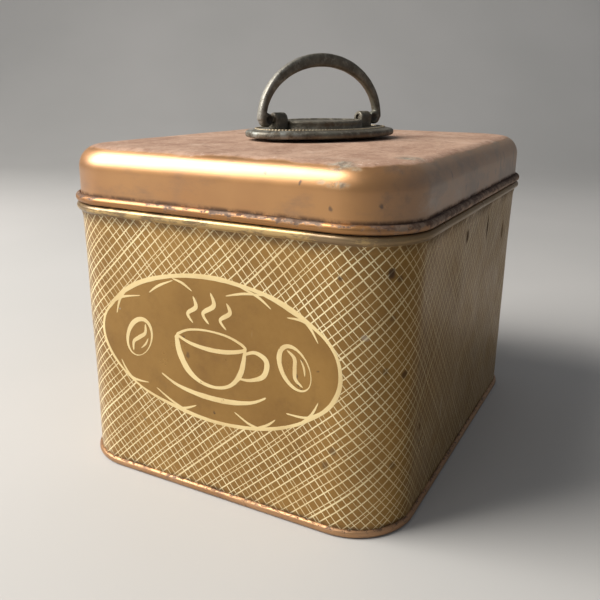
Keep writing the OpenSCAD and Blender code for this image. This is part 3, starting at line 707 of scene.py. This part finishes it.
def mat_brass(name, kind, seed=0.0):
    """Dark aged brass, greenish in the hollows; lighter on the bail's left outer edge, the plate's left end and raised
    rim and the tops of the posts and ring as painted highlights, and darkened in the bail's foot cups and the ring's
    lower parts as painted shade.
    """
    t = NT(name)
    p0 = t.obj()
    p = t.mapping(p0, loc=(seed, seed * 2, seed * 3))
    # along and across the handle
    h = t.mapping(p0, rot=(0, 0, -TURN), loc=(-HX * MM * math.cos(TURN), HX * MM * math.sin(TURN), 0))
    hx, hy, hz = t.xyz(h)
    n1 = t.noise(p, 90, 5, 0.65)
    n2 = t.noise(p, 420, 5, 0.7)
    n3 = t.noise(t.mapping(p, loc=(4, 1, 7)), 38, 4, 0.6)
    col = t.mix(t.step(n1, 0.32, 0.68), (0.185, 0.163, 0.122), (0.092, 0.080, 0.060))
    col = t.mix(t.step(n2, 0.50, 0.72, 0.0, 0.75), col, (0.27, 0.245, 0.195))
    col = t.mix(t.step(n3, 0.54, 0.70, 0.0, 0.45), col, (0.150, 0.165, 0.135))
    brown = t.step(t.noise(t.mapping(p, loc=(1, 8, 3)), 130, 4, 0.7), 0.54, 0.68)
    col = t.mix(t.m("MULTIPLY", brown, 0.5), col, (0.115, 0.070, 0.038))
    if kind == "bail":
        # painted highlight: a lighter, broken band along the left half of the bail's outer edge
        e = t.m("SQRT", t.m("ADD", t.m("POWER", t.m("DIVIDE", hx, 0.031), 2.0), t.m("POWER", t.m("DIVIDE", t.m("SUBTRACT", hz, PIN_Z * MM), 0.0248), 2.0)))
        left_highlight = t.m("MULTIPLY", t.step(e, 0.945, 0.985), t.step(hx, -0.004, -0.022))
        left_highlight = t.m("MULTIPLY", left_highlight, t.step(t.noise(t.mapping(p, scale=(1, 1, 0.5)), 380, 5, 0.75), 0.34, 0.52))
        col = t.mix(t.m("MULTIPLY", left_highlight, 0.75), col, (0.33, 0.315, 0.275))
        # painted shade: the cup in each foot darkened nearly to black
        fx = t.m("SUBTRACT", t.m("ABSOLUTE", hx), 0.0267)
        fz = t.m("SUBTRACT", hz, PIN_Z * MM)
        rr = t.m("SQRT", t.m("ADD", t.m("MULTIPLY", fx, fx), t.m("MULTIPLY", fz, fz)))
        foot_cup_shade = t.m("MULTIPLY", t.step(rr, 0.0020, 0.0012), t.step(t.m("ABSOLUTE", hy), 0.00190, 0.0013))
        col = t.mix(t.m("MULTIPLY", foot_cup_shade, 0.85), col, (0.022, 0.017, 0.012))
    elif kind == "plate":
        # painted highlight: lighter bluish-grey patches on the plate's left end
        left_highlight = t.m("MULTIPLY", t.step(hx, -0.017, -0.030), t.step(t.noise(t.mapping(p, loc=(3, 3, 3)), 210, 5, 0.7), 0.40, 0.56))
        col = t.mix(t.m("MULTIPLY", left_highlight, 0.7), col, (0.36, 0.37, 0.335))
        # painted highlight: lighter patches along the top of the raised middle's rim
        edge = t.m("MULTIPLY", t.step(hz, 0.1259, 0.1265), t.step(n2, 0.42, 0.60))
        col = t.mix(t.m("MULTIPLY", edge, 0.5), col, (0.34, 0.30, 0.22))
    elif kind == "post":
        # painted highlight: lighter patches on the rounded tops of the posts
        lit_top = t.m("MULTIPLY", t.step(hz, 0.1280, 0.1295), t.step(n2, 0.42, 0.60))
        col = t.mix(t.m("MULTIPLY", lit_top, 0.55), col, (0.34, 0.31, 0.25))
    elif kind == "ring":
        # painted highlight on the tops of the ring's beads; the rest darkened as painted shade
        lit_top = t.step(hz, 0.12330, 0.12375)
        col = t.mix(t.m("MULTIPLY", lit_top, 0.85), t.mix(0.5, col, (0.075, 0.058, 0.040)), t.mix(t.step(n1, 0.3, 0.7), (0.52, 0.44, 0.30), (0.36, 0.27, 0.16)))
    pit = t.step(t.noise(t.mapping(p, loc=(9, 9, 2)), 700, 4, 0.7), 0.60, 0.70)
    col = t.mix(t.m("MULTIPLY", pit, 0.5), col, (0.030, 0.025, 0.020))
    t.set(Base_Color=col, Roughness=t.m("ADD", t.step(n1, 0.3, 0.7, 0.42, 0.58), t.m("MULTIPLY", pit, 0.2)), Metallic=t.step(n2, 0.35, 0.75, 0.70, 0.35))
    hh = t.m("SUBTRACT", t.m("MULTIPLY", n2, 0.9), t.m("MULTIPLY", pit, 0.6))
    t.bump(hh, 0.5, 0.0002)
    return t.mat


def mat_steel():
    t = NT("fixings_look")
    p = t.obj()
    n1 = t.noise(p, 160, 5, 0.65)
    col = t.mix(t.step(n1, 0.35, 0.7), (0.44, 0.42, 0.38), (0.23, 0.20, 0.16))
    rust = t.step(t.noise(t.mapping(p, loc=(2, 2, 2)), 240, 5, 0.75), 0.56, 0.68)
    col = t.mix(t.m("MULTIPLY", rust, 0.8), col, (0.17, 0.075, 0.03))
    t.set(Base_Color=col, Roughness=t.m("ADD", t.step(n1, 0.3, 0.7, 0.32, 0.5), t.m("MULTIPLY", rust, 0.3)), Metallic=t.m("SUBTRACT", 0.95, t.m("MULTIPLY", rust, 0.6)))
    t.bump(t.noise(p, 900, 4, 0.7), 0.35, 0.0001)
    return t.mat


def set_mat(ob, mat):
    ob.data.materials.clear()
    ob.data.materials.append(mat)


# ---------------------------------------------------------------- body wall
def build_wall():
    cx, cz, rx, rz = 0.4, WALL_H - 1.4, 1.45, 1.4
    fz0 = WALL_H - 6
    outer = lin((0, 0.5), (0, 5), 3) + lin((0, 5), (0, fz0), 34)
    outer += [(0.45 * ease(i / 8), fz0 + (96.7 - fz0) * i / 8) for i in range(8)]
    outer += arc_pts(cx, cz, rx, rz, -68, 90, 20)
    lip = [(-0.63, WALL_H), (-0.63, WALL_H - SHEET)]
    inner = arc_pts(cx, cz, rx - SHEET, rz - SHEET, 90, -60, 14)
    inner += [(0.45 * ease(i / 6) - SHEET, fz0 + (96.5 - fz0) * i / 6) for i in range(6, 0, -1)]
    inner += lin((-SHEET, fz0), (-SHEET, 5), 34) + lin((-SHEET, 5), (-SHEET, 0.5), 3) + [(-SHEET, 0.5)]
    ob = sweep_tin("body_wall_sheet", outer + lip + inner, lambda px, py, z, s, o: wall_dent(px, py, z, s, o), straight=2.4, corner=30)
    fix_normals(ob)
    shade(ob, 40)
    return ob


def build_seam():
    """Folded lock seam standing inside the back wall: a flat strip with rounded long edges."""
    prof = [(-2.5, 0.0), (-2.5, 0.35), (-2.3, 0.6), (-2.0, 0.7), (1.4, 0.7), (1.75, 0.55), (2.0, 0.52), (2.3, 0.6), (2.5, 0.35), (2.5, 0.0)]
    verts, faces = [], []
    zs = [3.9 + (87.0 - 3.9) * i / 40 for i in range(41)]
    m = len(prof)
    for z in zs:
        d = wall_dent(0, HB, z, S_TOTAL / 2, 0)
        for x, h in prof:
            verts.append((x * MM, (HB - SHEET + d - h + 0.05) * MM, z * MM))
    for i in range(40):
        for k in range(m):
            l = (k + 1) % m
            faces.append((i * m + k, i * m + l, (i + 1) * m + l, (i + 1) * m + k))
    faces.append(tuple(range(m)))
    faces.append(tuple(40 * m + k for k in reversed(range(m))))
    ob = make_mesh("side_seam_fold", verts, faces, 40)
    fix_normals(ob)
    shade(ob, 40)
    return ob


# ---------------------------------------------------------------- lid
def lid_disp(px, py, z, s, o):
    if z < 104:
        return 0.0
    k = min(1.0, (z - 104) / 4)
    return k * (0.10 * fbm(px, py, z, 34, 5.3, 2) - 0.05) * (1 if o > -SHEET - 0.2 else 1)


def top_disp(x, y):
    return 0.16 * fbm(x, y, 0, 42, 1.3, 2) + 0.03 * fbm(x, y, 0, 12, 6.3, 2) - 0.13


def build_lid():
    sk = 0.1
    er = LID_R
    rx = (2.0 - sk + SHEET) / 2
    cx = 2.0 - rx
    cz = LID_Z0 + 1.4
    prof_out = arc_pts(sk - er, LID_Z1 - er, er, er, 90, 0, 26)
    down = lin((sk, LID_Z1 - er), (sk, cz + 0.62 * 1.4), 8)[1:] + [(sk, cz + 0.62 * 1.4)]
    curl = arc_pts(cx, cz, rx, 1.4, 108, -180, 34)
    up = lin((sk - SHEET, cz), (sk - SHEET, LID_Z1 - er), 8)[1:] + [(sk - SHEET, LID_Z1 - er)]
    prof_in = arc_pts(sk - er, LID_Z1 - er, er - SHEET, er - SHEET, 0, 90, 22)[1:]
    profile = prof_out + down + curl + up + prof_in
    ss = path_samples(2.4, 30)
    n, m = len(ss), len(profile)
    verts, faces, attr = [], [], []
    for s in ss:
        px, py, nx, ny = path_at(s)
        for o, z in profile:
            d = lid_disp(px, py, z, s, o)
            zz = z
            if z > LID_Z1 - 4:
                kk = (z - (LID_Z1 - 4)) / 4
                X, Y = px + o * nx, py + o * ny
                zz = z + kk * kk * top_disp(X, Y)
                d *= (1 - kk)
            verts.append(((px + (o + d) * nx) * MM, (py + (o + d) * ny) * MM, zz * MM))
    for i in range(n):
        j = (i + 1) % n
        for k in range(m - 1):
            faces.append((i * m + k, j * m + k, j * m + k + 1, i * m + k + 1))
    # flat top and its underside: loops drawn in towards the middle
    K = 22
    for col, z, flip in ((0, LID_Z1, False), (m - 1, LID_Z1 - SHEET, True)):
        prev = [i * m + col for i in range(n)]
        base = [(verts[i][0], verts[i][1]) for i in prev]
        for k in range(1, K):
            f = 1 - k / K
            cur = []
            for (bx, by) in base:
                X, Y = bx * f / MM, by * f / MM
                verts.append((X * MM, Y * MM, (z + top_disp(X, Y)) * MM))
                cur.append(len(verts) - 1)
            for i in range(n):
                j = (i + 1) % n
                q = (prev[i], prev[j], cur[j], cur[i])
                faces.append(q if flip else q[::-1])
            prev = cur
        verts.append((0, 0, (z + top_disp(0, 0)) * MM))
        c = len(verts) - 1
        for i in range(n):
            j = (i + 1) % n
            q = (prev[i], prev[j], c)
            faces.append(q if flip else q[::-1])
    ob = make_mesh("lid_sheet", verts, faces, 40)
    fix_normals(ob)
    shade(ob, 40)
    return ob


# ---------------------------------------------------------------- handle
ROT = Matrix.Translation(Vector((HX * MM, 0, 0))) @ Matrix.Rotation(TURN, 4, "Z")


def place(ob):
    ob.data.transform(ROT)
    ob.data.update()
    return ob


def oval_polar(a, b, c, off, th):
    """Radius of a four-arc oval at polar angles th."""
    D = b - a + c
    e = (c * c - D * D) / (2 * D)
    al = math.atan2(e, c)
    rs, rl = a - c + off, b + e + off
    pts = []
    for t in np.linspace(-al, al, 60):
        pts.append((c + rs * math.cos(t), rs * math.sin(t)))
    for t in np.linspace(al, math.pi - al, 80)[1:-1]:
        pts.append((rl * math.cos(t), -e + rl * math.sin(t)))
    for t in np.linspace(math.pi - al, math.pi + al, 60):
        pts.append((-c + rs * math.cos(t), rs * math.sin(t)))
    for t in np.linspace(math.pi + al, 2 * math.pi - al, 80)[1:-1]:
        pts.append((rl * math.cos(t), e + rl * math.sin(t)))
    P = np.array(pts)
    A = np.unwrap(np.arctan2(P[:, 1], P[:, 0]))
    R = np.hypot(P[:, 0], P[:, 1])
    A2 = np.concatenate([A - 2 * math.pi, A, A + 2 * math.pi])
    return np.interp(th, A2, np.tile(R, 3))


def build_plate():
    n = 240
    th = np.linspace(0, 2 * math.pi, n, endpoint=False)
    pa = (34.0, 21.0, 19.0)
    ma = (18.6, 13.0, 9.6)
    z0, z1 = PLATE_Z0, PLATE_Z1
    loops = []
    P = lambda off, z: loops.append((oval_polar(*pa, off, th), z))
    M = lambda off, z: loops.append((oval_polar(*ma, off, th), z))
    # underside hollow, then out and over the rounded rim
    P(-6.0, z0 + 1.7); P(-2.2, z0 + 1.7); P(-1.7, z0 + 1.4); P(-1.6, z0 + 0.2); P(-1.35, z0 + 0.02)
    P(-0.75, z0); P(-0.35, z0 + 0.18); P(-0.1, z0 + 0.5); P(0.0, z0 + 0.95); P(0.0, z0 + 1.5)
    P(-0.12, z0 + 1.9); P(-0.4, z0 + 2.25); P(-0.8, z0 + 2.5); P(-1.3, z0 + 2.6); P(-1.75, z0 + 2.58)
    P(-2.0, z0 + 2.66); P(-2.3, z0 + 2.80); P(-2.8, z0 + 2.9); P(-3.35, z0 + 2.95); P(-3.5, z0 + 2.86); P(-4.5, z0 + 2.86); P(-4.65, z0 + 2.95)
    P(-6.0, z0 + 2.98)
    M(1.8, z1 - 0.02); M(0.7, z1); M(0.15, z1 + 0.1); M(-0.05, z1 + 0.4); M(-0.12, z1 + 1.7); M(0.0, z1 + 2.0); M(0.0, z1 + 2.5); M(-0.15, z1 + 2.85)
    M(-0.5, z1 + 3.06); M(-0.95, z1 + 3.08); M(-1.5, z1 + 2.95); M(-1.9, z1 + 2.6); M(-2.4, z1 + 2.5); M(-4.5, z1 + 2.5); M(-6.5, z1 + 2.52)
    verts, faces = [], []
    for R, z in loops:
        for t, r in zip(th, R):
            x, y = r * math.cos(t), r * math.sin(t)
            dz = 0.05 * fbm(x, y, z, 6, 2.2, 3) - 0.03 if z > z0 + 2.4 else 0
            verts.append((x * MM, y * MM, (z + dz) * MM))
    for i in range(len(loops) - 1):
        for k in range(n):
            l = (k + 1) % n
            faces.append((i * n + k, i * n + l, (i + 1) * n + l, (i + 1) * n + k))
    verts.append((0, 0, (z0 + 1.7) * MM)); cb = len(verts) - 1
    verts.append((0, 0, (z1 + 2.52) * MM)); ct = len(verts) - 1
    last = (len(loops) - 1) * n
    for k in range(n):
        l = (k + 1) % n
        faces.append((l, k, cb))
        faces.append((last + k, last + l, ct))
    ob = make_mesh("handle_plate_cast", verts, faces, 38)
    fix_normals(ob)
    shade(ob, 38)
    return place(ob)


def build_milled_ring():
    """Cord-like ring of small slanted beads round the plate."""
    beads = 118
    per = 8
    n = beads * per
    # equal steps along the oval
    tt = np.linspace(0, 2 * math.pi, 4001)
    R = oval_polar(34.0, 21.0, 19.0, -4.0, tt)
    X, Y = R * np.cos(tt), R * np.sin(tt)
    L = np.concatenate([[0], np.cumsum(np.hypot(np.diff(X), np.diff(Y)))])
    q = np.interp(np.linspace(0, L[-1], n, endpoint=False), L, tt)
    R = oval_polar(34.0, 21.0, 19.0, -4.0, q)
    X, Y = R * np.cos(q), R * np.sin(q)
    TX, TY = np.roll(X, -1) - np.roll(X, 1), np.roll(Y, -1) - np.roll(Y, 1)
    TL = np.hypot(TX, TY)
    NX, NY = TY / TL, -TX / TL
    m = 8
    zc = PLATE_Z0 + 2.92
    verts, faces = [], []
    for i in range(n):
        for k in range(m):
            a = 2 * math.pi * k / m
            ph = 2 * math.pi * (i / per) + 0.9 * math.sin(a)
            r = 0.50 * (0.52 + 0.48 * abs(math.cos(ph / 2)) ** 0.8)
            u, w = r * 1.15 * math.cos(a), r * math.sin(a)
            verts.append(((X[i] + NX[i] * u) * MM, (Y[i] + NY[i] * u) * MM, (zc + w) * MM))
    for i in range(n):
        j = (i + 1) % n
        for k in range(m):
            l = (k + 1) % m
            faces.append((i * m + k, j * m + k, j * m + l, i * m + l))
    ob = make_mesh("plate_milled_ring", verts, faces, 60)
    fix_normals(ob)
    shade(ob, 60)
    return place(ob)


def remesh(ob, voxel, smooth=4, factor=0.5):
    md = ob.modifiers.new("r", "REMESH")
    md.mode = "VOXEL"
    md.voxel_size = voxel * MM
    sm = ob.modifiers.new("s", "SMOOTH")
    sm.factor = factor
    sm.iterations = smooth
    dg = bpy.context.evaluated_depsgraph_get()
    me = bpy.data.meshes.new_from_object(ob.evaluated_get(dg))
    old = ob.data
    ob.modifiers.clear()
    ob.data = me
    bpy.data.meshes.remove(old)
    shade(ob, 60)


class Solid:
    def __init__(self):
        self.v, self.f = [], []

    def tube(self, rings, cap=True):
        """rings: list of lists of points (same count)."""
        b, m = len(self.v), len(rings[0])
        for r in rings:
            self.v += [tuple(c * MM for c in p) for p in r]
        for i in range(len(rings) - 1):
            for k in range(m):
                l = (k + 1) % m
                self.f.append((b + i * m + k, b + i * m + l, b + (i + 1) * m + l, b + (i + 1) * m + k))
        if cap:
            self.f.append(tuple(b + k for k in reversed(range(m))))
            self.f.append(tuple(b + (len(rings) - 1) * m + k for k in range(m)))

    def cyl_x(self, x0, x1, r, n=32, y=0.0, z=0.0, bevel=0.15):
        rings = []
        for x, rr in ((x0, r - bevel), (x0 + bevel, r), (x1 - bevel, r), (x1, r - bevel)):
            rings.append([(x, y + rr * math.cos(2 * math.pi * k / n), z + rr * math.sin(2 * math.pi * k / n)) for k in range(n)])
        self.tube(rings)


def build_bail():
    s = Solid()
    W = 3.8
    n = 28
    rings = []
    for i in range(121):
        ph = math.pi * i / 120
        c, sn = math.cos(ph), math.sin(ph)
        O = (31.0 * c, 24.8 * sn)
        I = (27.9 * c, 19.6 * sn)
        C = ((O[0] + I[0]) / 2, (O[1] + I[1]) / 2)
        d = (O[0] - I[0], O[1] - I[1])
        L = math.hypot(*d)
        u = (d[0] / L, d[1] / L)
        h = L / 2
        w = W / 2 * (0.90 + 0.08 * abs(c))
        ring = []
        for k in range(n):
            a = 2 * math.pi * k / n
            ca, sa = math.cos(a), math.sin(a)
            e = 2 / 3.4
            x = h * math.copysign(abs(ca) ** e, ca)
            y = w * math.copysign(abs(sa) ** e, sa)
            y *= 0.93 if x > h * 0.6 else 1.0
            ring.append((C[0] + u[0] * x, y, C[1] + u[1] * x))
        rings.append(ring)
    s.tube(rings)
    for sg in (-1, 1):
        # rounded boss at each end, turned in towards the post
        rings = []
        for i in range(17):
            a = -math.pi / 2 + math.pi * i / 16
            y = 1.82 * math.copysign(abs(math.sin(a)) ** 0.7, math.sin(a))
            rr = abs(math.cos(a)) ** 0.45
            rings.append([(sg * 27.75 + 2.85 * rr * math.cos(2 * math.pi * k / 40) + 1e-4, y, 2.72 * rr * math.sin(2 * math.pi * k / 40)) for k in range(40)])
        s.tube(rings)
        s.cyl_x(min(sg * 19.7, sg * 27.5), max(sg * 19.7, sg * 27.5), 1.27, 40)
    ob = make_mesh("bail_cast", s.v, s.f, 60)
    fix_normals(ob)
    remesh(ob, 0.24, 5, 0.5)
    for v in ob.data.vertices:
        p = v.co / MM
        f = noise.fractal(Vector((p.x / 3.2, p.y / 3.2, p.z / 3.2)), 0.8, 2.0, 3)
        g = noise.noise(Vector((p.x / 9, p.y / 9 + 3, p.z / 9)))
        if abs(p.x) > 26.2 or p.z > 2.9:
            v.co += v.normal * (0.05 * f + 0.06 * g - 0.07) * MM
        # shallow cup in each side of the two feet
        dd = math.hypot(abs(p.x) - 26.7, p.z)
        if dd < 2.0 and abs(p.y) > 0.9:
            v.co.y -= math.copysign(0.75 * (0.5 + 0.5 * math.cos(math.pi * dd / 2.0)) ** 0.6, p.y) * MM
    ob.data.transform(Matrix.Translation((0, 0, PIN_Z * MM)))
    return place(ob)


def build_post(sg, name):
    s = Solid()
    x0, x1, r = 18.9, 24.5, 2.7
    # outline in y-z: straight sides and a half-round top
    def outline(k):
        pts = [(r * k + 0.0, PLATE_Z1 - PIN_Z)]
        pts += [(r * k, (PLATE_Z1 - PIN_Z) * (1 - i / 6)) for i in range(1, 6)]
        pts += [(r * k * math.cos(a), r * k * math.sin(a)) for a in np.linspace(0, math.pi, 25)]
        pts += [(-r * k, (PLATE_Z1 - PIN_Z) * i / 6) for i in range(1, 7)]
        return pts
    rings = []
    for x, k in ((x0 + 0.02, 0.80), (x0 + 0.12, 0.90), (x0 + 0.35, 0.97), (x0 + 0.8, 1.0), (x1 - 0.8, 1.0), (x1 - 0.35, 0.97), (x1 - 0.12, 0.90), (x1 - 0.02, 0.80)):
        rings.append([(x * sg, y, z) for y, z in outline(k)])
    s.tube(rings)
    # pin bore, cut out of the block
    ob = make_mesh(name, s.v, s.f, 60)
    fix_normals(ob)
    c = Solid()
    c.cyl_x(min(sg * 18.0, sg * 25.4), max(sg * 18.0, sg * 25.4), 1.35, 40, bevel=0.01)
    cut = make_mesh(name + "_cut", c.v, c.f, 60)
    fix_normals(cut)
    md = ob.modifiers.new("b", "BOOLEAN")
    md.object = cut
    md.operation = "DIFFERENCE"
    md.solver = "EXACT"
    rm = ob.modifiers.new("r", "REMESH")
    rm.mode = "VOXEL"
    rm.voxel_size = 0.14 * MM
    sm = ob.modifiers.new("s", "SMOOTH")
    sm.factor = 0.5
    sm.iterations = 4
    dg = bpy.context.evaluated_depsgraph_get()
    me = bpy.data.meshes.new_from_object(ob.evaluated_get(dg))
    old = ob.data
    ob.modifiers.clear()
    ob.data = me
    bpy.data.meshes.remove(old)
    bpy.data.objects.remove(cut)
    # threaded stud below
    st = Solid()
    m = 28
    rings = []
    zb, zt = 114.4 - PIN_Z, PLATE_Z1 - PIN_Z + 0.4
    steps = 150
    for i in range(steps + 1):
        z = zb + (zt - zb) * i / steps
        ring = []
        for k in range(m):
            a = 2 * math.pi * k / m
            ph = (z / 0.7 - a / (2 * math.pi)) % 1.0
            rr = 1.88 - 0.30 * abs(2 * ph - 1)
            if i < 6:
                rr -= 0.35 * (1 - i / 6)
            ring.append((sg * 21.7 + rr * math.cos(a), rr * math.sin(a), z))
        rings.append(ring)
    st.tube(rings)
    stud = make_mesh(name + "_stud", st.v, st.f, 60)
    fix_normals(stud)
    shade(stud, 60)
    shade(ob, 60)
    for o in (ob, stud):
        o.data.transform(Matrix.Translation((0, 0, PIN_Z * MM)))
        place(o)
    return ob, stud


# ---------------------------------------------------------------- assemble
M_PRINT, M_INK, M_LID, M_RIM, M_TIN = mat_printed(), mat_ink(), mat_lid(), mat_copper_rim(), mat_tin()
M_PLATE, M_RING, M_BAIL, M_POST, M_STEEL = mat_brass("plate_brass_look", "plate", 0.0), mat_brass("ring_brass_look", "ring", 0.6), mat_brass("bail_brass_look", "bail", 1.7), mat_brass("post_brass_look", "post", 3.1), mat_steel()

wall = build_wall()
set_mat(wall, M_PRINT)
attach(wall, "tin"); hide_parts("body_wall")
seam = build_seam()
set_mat(seam, M_TIN)
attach(seam, "tin"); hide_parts("body_wall")
ink = label_pieces()
fix_normals(ink)
shade(ink, 50)
set_mat(ink, M_INK)
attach(ink, "tin")

lid = build_lid()
set_mat(lid, M_LID)
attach(lid, "lid"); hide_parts("lid_shell")

plate = build_plate()
set_mat(plate, M_PLATE)
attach(plate, "lid"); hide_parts("handle_plate")
mill = build_milled_ring()
set_mat(mill, M_RING)
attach(mill, "lid"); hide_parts("handle_plate")

for sg, nm in ((-1, "left_post"), (1, "right_post")):
    a, b = build_post(sg, nm + "_cast")
    for o in (a, b):
        set_mat(o, M_POST)
        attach(o, "lid"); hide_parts(nm)

bail = build_bail()
set_mat(bail, M_BAIL)
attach(bail, "bail"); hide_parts("bail")

for node, mat in (("base_panel", M_RIM), ("neck_collar", M_TIN), ("plate_spacers", M_POST), ("lid_washers", M_STEEL), ("lid_nuts", M_STEEL)):
    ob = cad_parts[node]
    if not ob.data.materials:
        ob.data.materials.append(mat)
    for i in range(len(ob.material_slots)):
        ob.material_slots[i].material = mat

# ---------------------------------------------------------------- stage, light, camera
def build_stage():
    prof = [(-1.6, 0.0), (0.9, 0.0)]
    R = 0.7
    prof += [(0.9 + R * math.sin(a), R - R * math.cos(a)) for a in np.linspace(0, math.pi / 2, 24)[1:]]
    prof += [(0.9 + R, 2.6)]
    verts, faces = [], []
    for y, z in prof:
        verts += [(-2.6, y, z), (2.6, y, z)]
    for i in range(len(prof) - 1):
        faces.append((2 * i, 2 * i + 1, 2 * i + 3, 2 * i + 2))
    ob = make_mesh("studio_floor", verts, faces, 60)
    t = NT("studio_floor_look")
    p = t.obj()
    col = t.mix(t.step(t.noise(p, 3, 3, 0.5), 0.3, 0.7), (0.52, 0.50, 0.475), (0.48, 0.465, 0.44))
    t.set(Base_Color=col)
    t.bsdf.inputs["Roughness"].default_value = 0.75
    set_mat(ob, t.mat)
    ob.rotation_euler = (0, 0, math.radians(27.7))
    return ob


build_stage()


def area(name, loc, target, size, energy, color=(1, 1, 1), size_y=None):
    d = bpy.data.lights.new(name, "AREA")
    d.energy = energy
    d.color = color
    d.shape = "RECTANGLE" if size_y else "SQUARE"
    d.size = size
    if size_y:
        d.size_y = size_y
    o = bpy.data.objects.new(name, d)
    bpy.context.scene.collection.objects.link(o)
    o.location = loc
    o.rotation_euler = (Vector(target) - Vector(loc)).to_track_quat("-Z", "Y").to_euler()
    return o


area("key_left", (-0.72, -0.50, 0.84), (0, -0.02, 0.08), 0.70, 26.5, (1.0, 0.98, 0.95), 0.95)
area("fill_front", (-0.15, -1.15, 1.05), (0, 0, 0.06), 0.7, 1.0, (1.0, 0.97, 0.94), 0.7)

w = bpy.data.worlds.new("soft_room")
bpy.context.scene.world = w
w.use_nodes = True
bg = w.node_tree.nodes.get("Background") or w.node_tree.nodes.new("ShaderNodeBackground")
bg.inputs[0].default_value = (0.80, 0.86, 0.95, 1)
bg.inputs[1].default_value = 0.24

cam = bpy.data.cameras.new("photo_view")
cam.sensor_width = 36.0
cam.lens = 40.945
cam.clip_start = 0.01
co = bpy.data.objects.new("photo_view", cam)
bpy.context.scene.collection.objects.link(co)
yaw, pitch, roll = (math.radians(a) for a in (27.712, 17.521, 0.649))
d = Vector((-math.sin(yaw) * math.cos(pitch), math.cos(yaw) * math.cos(pitch), -math.sin(pitch)))
right = Vector((math.cos(yaw), math.sin(yaw), 0))
up = right.cross(d)
r2 = right * math.cos(roll) + up * math.sin(roll)
u2 = -right * math.sin(roll) + up * math.cos(roll)
mat = Matrix.Identity(4)
for i in range(3):
    mat[i][0], mat[i][1], mat[i][2] = r2[i], u2[i], -d[i]
mat.translation = Vector((0.123873, -0.254854, 0.139904))
co.matrix_world = mat
bpy.context.scene.camera = co
bpy.context.scene.view_settings.view_transform = "Standard"
